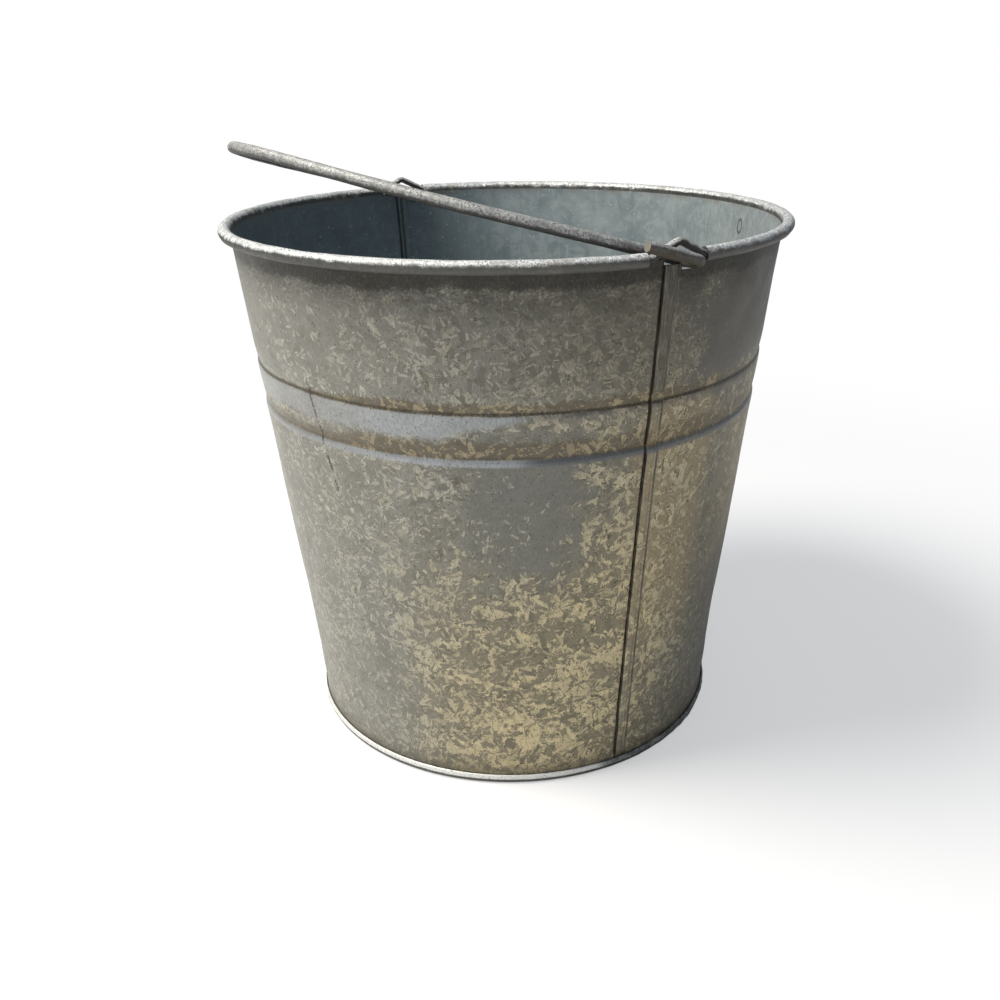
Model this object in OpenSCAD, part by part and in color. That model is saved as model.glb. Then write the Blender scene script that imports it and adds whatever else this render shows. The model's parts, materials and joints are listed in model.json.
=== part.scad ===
// Twelve-litre galvanised bucket with a swinging wire bail.
// The wall is two equal half shells joined by two lock seams. A wire runs inside the rolled rim and
// is bent up into an ear at each seam, and the bail hooks under the two ears.
// Millimetres. Origin at the centre of the foot on the ground, +Z up, the ears along X.

/* [Body] */
// Rim radius, at the centre of the rolled bead
rim_r = 140; // [120:1:170]
// Height of the bead's centre above the ground
rim_z = 267; // [240:1:322]
// Outer radius of the straight band at the foot
foot_r = 113.2; // [94:0.1:125]
// Thickness of the sheet
sheet_t = 0.6; // [0.5:0.05:0.7]
// Height of the straight band at the foot
foot_band_h = 13; // [11:0.5:20]

/* [Rim] */
// Diameter of the wire inside the rim
rim_wire_d = 3.5; // [3:0.1:4]
// Loose space between the wire and the sheet rolled round it
bead_slack = 0.65; // [0.4:0.05:0.75]
// Opening under the rolled bead, between its edge and the wall, in degrees
bead_mouth = 42; // [30:1:60]

/* [Swage lines] */
// Height of the upper swage line
swage_z = 204; // [150:1:230]
// Spacing of the two swage lines
swage_gap = 21; // [18:0.5:30]
// Depth of the swage lines
swage_d = 0.9; // [0.5:0.05:1.2]

/* [Lock seams] */
// Width of a lock seam
seam_w = 5.2; // [4.6:0.1:7.5]
// Play between the hooked layers of a seam
seam_fit = 0.03; // [0.02:0.01:0.05]
// Height at which a seam starts above the ground
seam_z0 = 7.6; // [7.2:0.1:10]

/* [Ears] */
// How far the ears stand to the +Y side of the seams
ear_y = 1.9; // [1:0.1:4]
// Rise of an ear's peak over the bead's centre
ear_rise = 6.8; // [5.8:0.1:7.4]
// Reach of an ear from its peak to the short foot
ear_back = 13.8; // [12:0.1:15]
// Reach of an ear from its peak to the long foot
ear_front = 13.5; // [13:0.1:15]

/* [Base] */
// Height of the disc above the ground
base_lift = 6.4; // [5.5:0.1:7]
// Height of the folded edge outside the wall
chime_h = 4.5; // [3.5:0.1:5.5]
// Looseness of the folded edge outside the wall
chime_slack = 0.3; // [0.1:0.05:0.5]

/* [Bail] */
// Diameter of the bail wire
bail_d = 5; // [4.5:0.1:5.2]
// Length of the bow's straight legs, from the hinge line to the half round
bow_leg = 14; // [12:0.1:60]
// Angle of the resting bail over the horizontal
bail_rest = 16.8; // [16.8:0.1:90]
// Radius of the hook's bend, at the centre of the wire
hook_r = 5.6; // [5.4:0.1:5.8]
// Length of the hook's straight outer leg
hook_leg = 24; // [20:0.5:26]
// How far the outer leg turns in past parallel, in degrees
hook_close = 1.4; // [0:0.1:3]
// Twist of the hook out of the bow's plane, in degrees
hook_twist = 9; // [6:0.5:10]
// Clear space between the hook and the ear wire over it
hook_fit = 0.3; // [0.2:0.05:0.6]

/* [Hidden] */
$fn = 96;

// Wall profile: the straight taper of the outer face, and the play between two hooked layers.
wire_r = rim_wire_d / 2;
curl_ri = wire_r + bead_slack;
curl_ro = curl_ri + sheet_t;
wall_top_r = rim_r - curl_ro + sheet_t;
taper_z = foot_band_h + 2.5;
taper = (wall_top_r - foot_r) / (rim_z - taper_z);
pitch = sheet_t + seam_fit;
hi_z = swage_z;
lo_z = hi_z - swage_gap;
wall_z0 = sheet_t + seam_fit;

// Outer face of the wall, from the lower edge to the rim: height, then the offset from the taper.
function on_taper(z) = foot_r + max(0, z - taper_z) * taper;
wall_line = [
    [wall_z0, 0], [foot_band_h, 0],
    [foot_band_h + 5, 0.45], [foot_band_h + 12, 0.4], [foot_band_h + 22, 0],
    [lo_z - 14, 0], [lo_z - 8, 0.15 * swage_d], [lo_z - 3, 0.4 * swage_d], [lo_z - 1, 0.3 * swage_d],
    [lo_z + 0.2, -0.2 * swage_d], [lo_z + 1.2, -swage_d], [lo_z + 4.5, -0.5 * swage_d],
    [lo_z + 10, -0.1 * swage_d], [lo_z + 16, 0.12 * swage_d], [hi_z - 1, 0.05 * swage_d],
    [hi_z, -0.15 * swage_d], [hi_z + 1, -0.9 * swage_d], [hi_z + 5.5, -0.3 * swage_d],
    [hi_z + 11, 0], [rim_z, 0]
];

// Seams: levels count outward in sheets. The inner sheet steps in one level, the outer one out two.
seam_h = seam_w / 2;
step_in = 1.3;
step_out = 2 * pitch + 0.6;
step_lap = 0.05;

// Ears: feet on the bead's circle, the peak over it.
foot_back_y = ear_y - ear_back;
foot_front_y = ear_y + ear_front;
bead_back_y = foot_back_y - 1.5;
bead_front_y = foot_front_y - 0.3;
cut_z = rim_z - 1;
function on_ring(y, r) = sqrt(r * r - y * y);

// Hinge line: the hook crosses under the long leg of the ear, with hook_fit between the wires.
bail_r = bail_d / 2;
hinge_y = ear_y + 0.68 * ear_front;
ear_slope = atan(ear_rise / ear_front);
hinge_z = rim_z + ear_rise * (foot_front_y - hinge_y) / ear_front
    - (wire_r + bail_r + hook_fit) / cos(ear_slope);
hook_x = on_ring(hinge_y, rim_r);
leg_x = round(100 * (hook_x - hook_r * cos(hook_twist))) / 100;
bow_drop = hook_r * sin(hook_twist);
bow_r = leg_x;
joint_gap = 0.1;

// ---------- wall ----------

module wall_section(lo, hi) {
    outer = [for (p = wall_line) [on_taper(p[0]) + p[1] + hi * pitch, p[0]]];
    inner = [for (i = [len(wall_line) - 1 : -1 : 0])
        [on_taper(wall_line[i][0]) + wall_line[i][1] + lo * pitch - sheet_t, wall_line[i][0]]];
    polygon(concat(outer, inner));
}

// One turn of the wall between two levels.
module wall_ring(lo, hi) {
    rotate_extrude() wall_section(lo, hi);
}

// The part of the wall near the +X seam, between two levels.
module wall_strip(lo, hi) {
    rotate_extrude(angle = 12, start = -6) wall_section(lo, hi);
}

// Section of the rolled bead: a sheet turned over the wire and tucked in under it.
module curl_section() {
    difference() {
        translate([rim_r, rim_z]) circle(r = curl_ro);
        translate([rim_r, rim_z]) circle(r = curl_ri);
        translate([rim_r, rim_z]) polygon([
            [0, 0], [-9, 0], [-9, -9 * tan(bead_mouth)]
        ]);
    }
}

module slab(y0, y1, z0, z1) {
    translate([0, y0, z0]) cube([2 * rim_r, y1 - y0, z1 - z0]);
}

// The bend that carries the sheet from one level to another beside the seam, in short strips.
module step_strips(y0, y1, lo, hi, count) {
    run = (y1 - y0) / count;
    for (i = [0 : count - 1]) {
        level = lo + (hi - lo) * (i + 0.5) / count;
        intersection() {
            wall_strip(level, level);
            slab(y0 + i * run - step_lap, y0 + (i + 1) * run + (i < count - 1 ? step_lap : 0),
                seam_z0, cut_z);
        }
    }
}

// Everything the -Y half has at the +X seam: it steps in, runs under, folds and comes back.
module seam_inner_sheet() {
    fold_y = seam_h;
    step_strips(-seam_h - seam_fit - step_in, -seam_h - seam_fit, 0, -1, 3);
    intersection() {
        wall_strip(-1, -1);
        slab(-seam_h - seam_fit - step_lap, fold_y, seam_z0, cut_z);
    }
    intersection() {
        wall_strip(-1, 1);
        slab(fold_y - sheet_t, fold_y, seam_z0, cut_z);
    }
    intersection() {
        wall_strip(1, 1);
        slab(-seam_h + pitch, fold_y, seam_z0, cut_z);
    }
}

// Everything the +Y half has at the +X seam: it steps out, runs over, folds and comes back.
module seam_outer_sheet() {
    mirror([0, 1, 0]) step_strips(-seam_h - seam_fit - step_out, -seam_h - seam_fit, 0, 2, 4);
    intersection() {
        wall_strip(2, 2);
        slab(-seam_h, seam_h + seam_fit + step_lap, seam_z0, cut_z);
    }
    intersection() {
        wall_strip(0, 2);
        slab(-seam_h, -seam_h + sheet_t, seam_z0, cut_z);
    }
    intersection() {
        wall_strip(0, 0);
        slab(-seam_h, seam_h - pitch, seam_z0, cut_z);
    }
}

// The gap cut out of the rim at an ear, seen along X. It steps down where the hook crosses.
module ear_gap() {
    dip = hinge_z - bail_r - 0.6;
    step_z = cut_z - 2.4;
    near_y = hinge_y - bail_r - 2.9;
    rotate([90, 0, 90]) linear_extrude(height = 4 * rim_r, center = true) polygon([
        [bead_back_y, rim_z + 20], [bead_back_y, cut_z], [-seam_h - 1, cut_z], [-seam_h - 0.2, step_z],
        [near_y, step_z], [near_y + 0.5, dip], [hinge_y + bail_r + 0.5, dip],
        [bead_front_y, cut_z], [bead_front_y, rim_z + 20]
    ]);
}

// Half the wall on the -Y side. Turned half round it is the other half, so the two are one pattern.
module plain_half() {
    intersection() {
        wall_ring(0, 0);
        union() {
            translate([0, -2 * rim_r, 0]) cube([2 * rim_r, 2 * rim_r - seam_h - seam_fit - step_in, rim_z]);
            translate([0, -2 * rim_r, 0]) cube([2 * rim_r, 2 * rim_r - seam_fit / 2, seam_z0]);
            translate([-2 * rim_r, -2 * rim_r, 0])
                cube([2 * rim_r, 2 * rim_r - seam_h - seam_fit - step_out, rim_z]);
            translate([-2 * rim_r, -2 * rim_r, 0])
                cube([2 * rim_r, 2 * rim_r - seam_fit / 2, seam_z0]);
        }
    }
}

module bead(y_side) {
    intersection() {
        rotate_extrude() curl_section();
        if (y_side < 0)
            translate([-2 * rim_r, -2 * rim_r, rim_z - 10])
                cube([4 * rim_r, 2 * rim_r + bead_back_y, 20]);
        else
            translate([-2 * rim_r, bead_front_y, rim_z - 10])
                cube([4 * rim_r, 2 * rim_r, 20]);
    }
}

module half_wall() {
    plain_half();
    seam_inner_sheet();
    rotate([0, 0, 180]) seam_outer_sheet();
}

module shell_front() {
    color([0.62, 0.63, 0.62])
    difference() {
        union() {
            half_wall();
            bead(-1);
        }
        ear_gap();
    }
}

module shell_back() {
    color([0.58, 0.6, 0.6])
    difference() {
        union() {
            rotate([0, 0, 180]) half_wall();
            bead(1);
        }
        ear_gap();
    }
}

// ---------- rim wire with its two ears ----------

module rod(a, b, r) {
    d = b - a;
    len_ab = norm(d);
    translate(a) rotate([0, acos(d[2] / len_ab), atan2(d[1], d[0])]) cylinder(r = r, h = len_ab);
}

module ear() {
    back_foot = [on_ring(foot_back_y, rim_r), foot_back_y, rim_z];
    peak = [on_ring(ear_y, rim_r), ear_y, rim_z + ear_rise];
    front_foot = [on_ring(foot_front_y, rim_r), foot_front_y, rim_z];
    rod(back_foot, peak, wire_r);
    rod(peak, front_foot, wire_r);
    for (p = [back_foot, peak, front_foot])
        translate(p) sphere(r = wire_r + 0.05, $fn = 20);
}

module ring_arc(a0, a1) {
    translate([0, 0, rim_z]) rotate_extrude(angle = a1 - a0, start = a0)
        translate([rim_r, 0]) circle(r = wire_r, $fn = 24);
}

module rim_wire() {
    front_a = asin(foot_front_y / rim_r);
    back_a = asin(foot_back_y / rim_r);
    color([0.5, 0.51, 0.5])
    union() {
        ring_arc(front_a, 180 - front_a);
        ring_arc(180 - back_a, 360 + back_a);
        ear();
        mirror([1, 0, 0]) ear();
    }
}

// ---------- base ----------

module base() {
    flange_r = foot_r - sheet_t - seam_fit;
    fold_r = foot_r + chime_slack + sheet_t;
    t = sheet_t;
    color([0.55, 0.56, 0.55])
    rotate_extrude() polygon([
        [0, base_lift - t], [flange_r - t - 0.5, base_lift - t], [flange_r - t, base_lift - t - 0.5],
        [flange_r - t, 0.35], [flange_r - t + 0.35, 0],
        [fold_r - 0.5, 0], [fold_r - 0.15, 0.15], [fold_r, 0.5],
        [fold_r, chime_h - 0.25], [fold_r - 0.2, chime_h], [fold_r - t, chime_h],
        [fold_r - t, t], [flange_r, t],
        [flange_r, base_lift - 0.7], [flange_r - 0.2, base_lift - 0.2], [flange_r - 0.7, base_lift],
        [0, base_lift]
    ]);
}

// ---------- bail ----------

// A barely raised ring where a bend of the wire meets a straight length.
module joint() {
    sphere(r = bail_r + 0.05, $fn = 20);
}

// The hook on the +X end, in the bow's own plane: in along the leg, round, and back outside.
module hook() {
    translate([leg_x, 0, -bow_drop]) rotate([0, -hook_twist, 0]) translate([hook_r, -hook_r, 0]) {
        rotate_extrude(angle = 180 + hook_close, start = -hook_close)
            translate([hook_r, 0]) circle(r = bail_r, $fn = 32);
        rotate([0, 0, -hook_close]) translate([hook_r, -joint_gap, 0]) {
            joint();
            rotate([90, 0, 0]) cylinder(r = bail_r, h = hook_leg - joint_gap, $fn = 32);
        }
    }
    translate([leg_x, -hook_r, -bow_drop]) joint();
    translate([leg_x, -hook_r - joint_gap, -bow_drop]) rotate([90, 0, 0])
        cylinder(r = bail_r, h = bow_leg - hook_r - joint_gap, $fn = 32);
}

module bail() {
    color([0.45, 0.45, 0.44])
    translate([0, hinge_y, hinge_z]) rotate([-bail_rest, 0, 0]) union() {
        translate([0, -bow_leg, -bow_drop]) rotate_extrude(angle = 180, start = 180)
            translate([bow_r, 0]) circle(r = bail_r, $fn = 32);
        hook();
        mirror([1, 0, 0]) hook();
    }
}

shell_front();
shell_back();
rim_wire();
base();
bail();
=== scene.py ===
"""Looks of the weathered galvanised bucket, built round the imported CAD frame."""
import json
import math

import bmesh
import bpy
import numpy as np
from mathutils import Matrix, Vector


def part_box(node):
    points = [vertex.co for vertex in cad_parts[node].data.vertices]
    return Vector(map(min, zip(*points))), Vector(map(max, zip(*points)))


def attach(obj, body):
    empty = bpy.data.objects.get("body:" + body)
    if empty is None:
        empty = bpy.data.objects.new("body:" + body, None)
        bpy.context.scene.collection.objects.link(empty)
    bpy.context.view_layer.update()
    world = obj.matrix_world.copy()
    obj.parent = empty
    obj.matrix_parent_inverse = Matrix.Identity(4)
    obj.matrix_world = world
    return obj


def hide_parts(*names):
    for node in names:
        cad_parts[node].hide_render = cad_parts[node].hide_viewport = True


MM = 0.001
SEED = 29

# Sizes of the sheet metal, in millimetres. The large ones are read from the CAD boxes below.
SHEET = 0.6             # sheet thickness
PITCH = 0.63            # one folded layer
WIRE_R = 1.75           # rim wire
CURL_MID = 2.7          # middle of the sheet rolled round the rim wire
CURL_START, CURL_END = 180.0, -138.0
BAND_Z = 13.0           # straight band at the foot
SWAGE_HI, SWAGE_LO, SWAGE_D = 204.0, 183.0, 0.9
SEAM_H = 2.6            # half the width of a lock seam
EAR_Y, EAR_RISE = 1.9, 6.8
EAR_BACK_Y, EAR_FRONT_Y = -11.9, 15.4
EAR_FOOT = 2.5          # level wire on each side of an ear
GAP_BACK_Y, GAP_FRONT_Y = -13.4, 15.1
CUT_Z, STEP_Z, DIP_Z = 266.0, 263.6, 260.95
DIP_FROM, DIP_TO = 6.18, 14.08
BAIL_R, HOOK_R, HOOK_LEG = 2.5, 5.6, 24.0
HOOK_CLOSE, HOOK_TWIST, BAIL_REST = 1.4, 9.0, 16.8
BOW_LEG = 14.0
BOW_SAG = 1.2           # the hand-bent legs of the bow hang this much under its plane
BASE_Z = 6.4            # top of the bottom disc
CHIME_OUT = 0.9         # the base's folded edge stands this far outside the foot's radius


# ---------- small tools ----------

def smoothstep(x, lo, hi):
    t = np.clip((np.asarray(x, float) - lo) / (hi - lo), 0, 1)
    return t * t * (3 - 2 * t)


class Ripple:
    """A smooth seeded wave field over the wall, about -1 to 1, seamless all the way round."""

    def __init__(self, seed, turns, length, count=14):
        rng = np.random.default_rng(SEED + seed)
        self.k = rng.integers(1, turns + 1, count) * rng.choice([-1, 1], count)
        self.m = rng.uniform(-1, 1, count) * 2 * math.pi / length
        self.p = rng.uniform(0, 2 * math.pi, count)
        self.scale = 1.6 / count ** 0.5 / 2

    def at(self, angle, z):
        a = np.asarray(angle, float)[..., None]
        h = np.asarray(z, float)[..., None]
        return (np.sin(a * self.k + h * self.m + self.p).sum(-1)) * self.scale


def make_object(node, verts, faces, slots, materials, body, slot, sharp, weld=False):
    """A mesh in millimetres that takes a CAD node's place, smooth but for its sharp edges.

    slots holds each face's material number. weld joins the corners that lie in one place."""
    name = node + "_visual"
    mesh = bpy.data.meshes.new(name)
    mesh.from_pydata((np.asarray(verts, float) * MM).tolist(), [], faces)
    for material in materials:
        mesh.materials.append(material)
    mesh.polygons.foreach_set("material_index", np.asarray(slots, dtype=np.int32))
    mesh.polygons.foreach_set("use_smooth", np.ones(len(faces), dtype=bool))
    if weld:
        bm = bmesh.new()
        bm.from_mesh(mesh)
        bmesh.ops.remove_doubles(bm, verts=bm.verts, dist=1e-6)
        bmesh.ops.recalc_face_normals(bm, faces=bm.faces)
        bm.to_mesh(mesh)
        bm.free()
    mesh.set_sharp_from_angle(angle=math.radians(sharp))
    mesh.validate()
    obj = bpy.data.objects.new(name, mesh)
    bpy.context.scene.collection.objects.link(obj)
    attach(obj, body)
    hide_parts(node)


def closed_sheet(front, back, cells, front_slot, back_slot, edge_slot):
    """Corners, faces and slots of a sheet with two sides on one grid. Its border is closed.

    front and back are rows x columns x 3, cells says which grid squares exist, and the slots are
    arrays the shape of cells with the material number of each square."""
    rows, cols = front.shape[:2]
    verts = np.concatenate([front.reshape(-1, 3), back.reshape(-1, 3)])
    number = np.arange(rows * cols).reshape(rows, cols)
    far = number + rows * cols
    r, c = np.nonzero(cells)
    quads = [np.stack([number[r, c], number[r, c + 1], number[r + 1, c + 1], number[r + 1, c]], 1),
             np.stack([far[r, c], far[r + 1, c], far[r + 1, c + 1], far[r, c + 1]], 1)]
    slots = [front_slot[r, c], back_slot[r, c]]
    padded = np.pad(cells, 1)
    for dr, dc, (a, b) in ((-1, 0, ((0, 1), (0, 0))), (1, 0, ((1, 0), (1, 1))),
                           (0, -1, ((0, 0), (1, 0))), (0, 1, ((1, 1), (0, 1)))):
        open_side = cells & ~padded[1 + dr:1 + dr + rows - 1, 1 + dc:1 + dc + cols - 1]
        r, c = np.nonzero(open_side)
        p, q = (r + a[0], c + a[1]), (r + b[0], c + b[1])
        quads.append(np.stack([number[p], number[q], far[q], far[p]], 1))
        slots.append(edge_slot[r, c])
    used, faces = np.unique(np.concatenate(quads), return_inverse=True)
    return verts[used], faces.reshape(-1, 4).tolist(), np.concatenate(slots)


def tube(path, radii, sides):
    """Corners, faces and ring count of a wire along a path. Its last two corners are its ends' middles."""
    path = np.asarray(path, float)
    along = np.gradient(path, axis=0)
    along /= np.linalg.norm(along, axis=1)[:, None]
    side = np.cross(along[0], [0.3, 0.2, 1.0])
    side /= np.linalg.norm(side)
    turn = np.linspace(0, 2 * math.pi, sides, endpoint=False)
    rings = []
    for p, t, radius in zip(path, along, radii):
        side = side - t * side.dot(t)
        side /= np.linalg.norm(side)
        other = np.cross(t, side)
        rings.append(p + radius * (np.cos(turn)[:, None] * side + np.sin(turn)[:, None] * other))
    n = len(rings)
    verts = np.concatenate(rings + [path[:1], path[-1:]])
    i, j = np.meshgrid(np.arange(n - 1), np.arange(sides), indexing="ij")
    i, j = i.ravel(), j.ravel()
    k = (j + 1) % sides
    faces = np.stack([i * sides + j, i * sides + k, (i + 1) * sides + k, (i + 1) * sides + j], 1)
    return verts, faces.tolist(), n


# ---------- shader tools ----------

class Shader:
    """Short calls that add nodes to one material and link them.

    place is in millimetres, angle goes round the bucket in radians from the near seam, and wrap is
    the wall rolled flat. colour is what coat() has laid down so far."""

    WRAP_R = 125.0          # radius at which the wall is rolled flat

    def __init__(self, name):
        self.material = bpy.data.materials.new(name)
        self.material.use_nodes = True
        self.tree = self.material.node_tree
        self.tree.nodes.clear()
        self.colour = None
        coordinates = self.add("ShaderNodeTexCoord").outputs
        self.place = self.vector("SCALE", coordinates["Object"], scale=1 / MM)
        self.x, self.y, self.z = self.add("ShaderNodeSeparateXYZ", Vector=self.place).outputs
        self.angle = self.math("ARCTAN2", self.y, self.x)
        self.wrap = self.add("ShaderNodeCombineXYZ", X=self.times(self.angle, self.WRAP_R),
                             Y=self.z, Z=0.0).outputs[0]
        self.up = self.add("ShaderNodeSeparateXYZ", Vector=coordinates["Normal"]).outputs["Z"]

    def feed(self, socket, value):
        if isinstance(value, bpy.types.NodeSocket):
            self.tree.links.new(value, socket)
        else:
            socket.default_value = value

    def add(self, kind, **inputs):
        node = self.tree.nodes.new(kind)
        for key, value in inputs.items():
            self.feed(node.inputs[key], value)
        return node

    def math(self, operation, a, b=0.0):
        node = self.tree.nodes.new("ShaderNodeMath")
        node.operation = operation
        self.feed(node.inputs[0], a)
        self.feed(node.inputs[1], b)
        return node.outputs[0]

    def times(self, *values):
        out = values[0]
        for value in values[1:]:
            out = self.math("MULTIPLY", out, value)
        return out

    def plus(self, *values):
        out = values[0]
        for value in values[1:]:
            out = self.math("ADD", out, value)
        return out

    def most(self, a, b):
        return self.math("MAXIMUM", a, b)

    def least(self, a, b):
        return self.math("MINIMUM", a, b)

    def swing(self, noise, size):
        """A noise value made to swing about 0, as far as half the size each way."""
        return self.times(self.plus(noise, -0.5), size)

    def step(self, value, lo, hi):
        """0 below lo, 1 above hi, smooth between. lo may be the larger one."""
        node = self.add("ShaderNodeMapRange", **{"Value": value, "From Min": lo, "From Max": hi})
        node.interpolation_type = "SMOOTHSTEP"
        return node.outputs[0]

    def band(self, value, centre, half, soft):
        """1 within half of the centre, falling to 0 over soft."""
        gap = self.math("ABSOLUTE", self.math("SUBTRACT", value, centre))
        return self.step(gap, half + soft, half)

    def vector(self, operation, a, b=(0, 0, 0), scale=1.0):
        node = self.tree.nodes.new("ShaderNodeVectorMath")
        node.operation = operation
        self.feed(node.inputs[0], a)
        if operation == "SCALE":
            self.feed(node.inputs["Scale"], scale)
        else:
            self.feed(node.inputs[1], b)
        return node.outputs[0]

    def stretched(self, where, x, y, z=1.0):
        return self.vector("MULTIPLY", where, (x, y, z))

    def noise(self, where, size, detail=3.0, rough=0.55, colour=False):
        """Noise with blobs of about the given size in millimetres."""
        node = self.add("ShaderNodeTexNoise", Vector=where, Scale=1.0 / size, Detail=detail,
                        Roughness=rough)
        return node.outputs["Color" if colour else "Fac"]

    def cells(self, where, size):
        """Three random values for each cell of about the given size in millimetres."""
        node = self.add("ShaderNodeTexVoronoi", Vector=where, Scale=1.0 / size)
        return self.add("ShaderNodeSeparateColor", Color=node.outputs["Color"]).outputs

    def spangle(self, where, size, slim, seed, rough=0.35):
        """Zinc crystals: straight-sided flakes, each group lying its own way.

        Gives two values for each flake and one for its group."""
        shifted = self.vector("ADD", where, (seed * 31.0, seed * 17.0, seed * 7.0))
        ragged = self.vector("SUBTRACT", self.noise(shifted, size * 0.45, 2, 0.7, colour=True),
                             (0.5, 0.5, 0.5))
        bent = self.vector("ADD", shifted, self.vector("SCALE", ragged, scale=size * rough))
        group = self.cells(bent, size * 3.2)
        turn = self.add("ShaderNodeVectorRotate", Vector=bent, Angle=self.times(group[0], 3.14))
        turn.rotation_type = "Z_AXIS"
        flake = self.cells(self.stretched(turn.outputs[0], slim, 1.0), size)
        return flake[0], flake[1], group[1]

    def mix(self, share, a, b):
        node = self.tree.nodes.new("ShaderNodeMix")
        node.data_type = "RGBA"
        self.feed(node.inputs[0], share)
        for socket, value in ((node.inputs[6], a), (node.inputs[7], b)):
            self.feed(socket, (*value, 1.0) if isinstance(value, tuple) else value)
        return node.outputs[2]

    def coat(self, colour, *shares):
        """Lays a colour over what is there, as much of it as the shares multiplied say."""
        self.colour = self.mix(self.times(*shares), self.colour, colour)

    def surface(self, metal, rough, heights):
        """Ends the material. heights is a list of (height, depth in mm) for the bump."""
        shader = self.add("ShaderNodeBsdfPrincipled", Metallic=metal, Roughness=rough)
        self.feed(shader.inputs["Base Color"], self.colour)
        normal = None
        for height, depth in heights:
            bump = self.add("ShaderNodeBump", Height=height, Strength=1.0, Distance=depth * MM)
            if normal is not None:
                self.tree.links.new(normal, bump.inputs["Normal"])
            normal = bump.outputs[0]
        self.tree.links.new(normal, shader.inputs["Normal"])
        self.add("ShaderNodeOutputMaterial", Surface=shader.outputs[0])
        return self.material


# ---------- materials ----------

# The colours of the wall outside, as linear red, green and blue: stains, with painted shade and a painted sky
# reflection among them.
ZINC_DARK, ZINC_PALE, ZINC_BRIGHT = (0.185, 0.180, 0.150), (0.255, 0.252, 0.218), (0.300, 0.297, 0.262)
OLIVE_ZINC, BROWN_SHADE, WARM_GLOW = (0.232, 0.192, 0.106), (0.105, 0.094, 0.066), (0.360, 0.280, 0.155)
BARE_PATCH, BARE_SHADE_DARK, TURN_SHADE = (0.170, 0.174, 0.158), (0.135, 0.132, 0.120), (0.120, 0.122, 0.112)
BEIGE_COOL, BEIGE_WARM, BEIGE_DEEP = (0.450, 0.435, 0.360), (0.760, 0.640, 0.375), (0.360, 0.312, 0.205)
BEIGE_QUIET, BEIGE_FROST = (0.350, 0.345, 0.300), (0.300, 0.270, 0.215)
LINE_COOL, LINE_WARM = (0.56, 0.53, 0.45), (0.60, 0.52, 0.33)
VEIN_COOL, VEIN_WARM, OUTLINE = (0.150, 0.146, 0.120), (0.190, 0.150, 0.080), (0.066, 0.048, 0.026)
DIRT, FOOT_SMUDGE, UPPER_SHADOW = (0.125, 0.095, 0.050), (0.085, 0.078, 0.052), (0.070, 0.064, 0.052)
RIM_GRIME_SHADE, CRUST_SHADE_BLACK, CRUST_SHADE_BROWN = (0.036, 0.032, 0.023), (0.017, 0.015, 0.010), (0.066, 0.054, 0.031)
RUBBED_GREY, LEDGE_SKY_BLUE, LEDGE_SHADE = (0.215, 0.212, 0.198), (0.375, 0.402, 0.425), (0.125, 0.133, 0.145)
SETTLED_DIRT, RUST_FLECK, CREASE_SHADE = (0.105, 0.080, 0.042), (0.340, 0.265, 0.140), (0.040, 0.028, 0.015)


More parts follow.
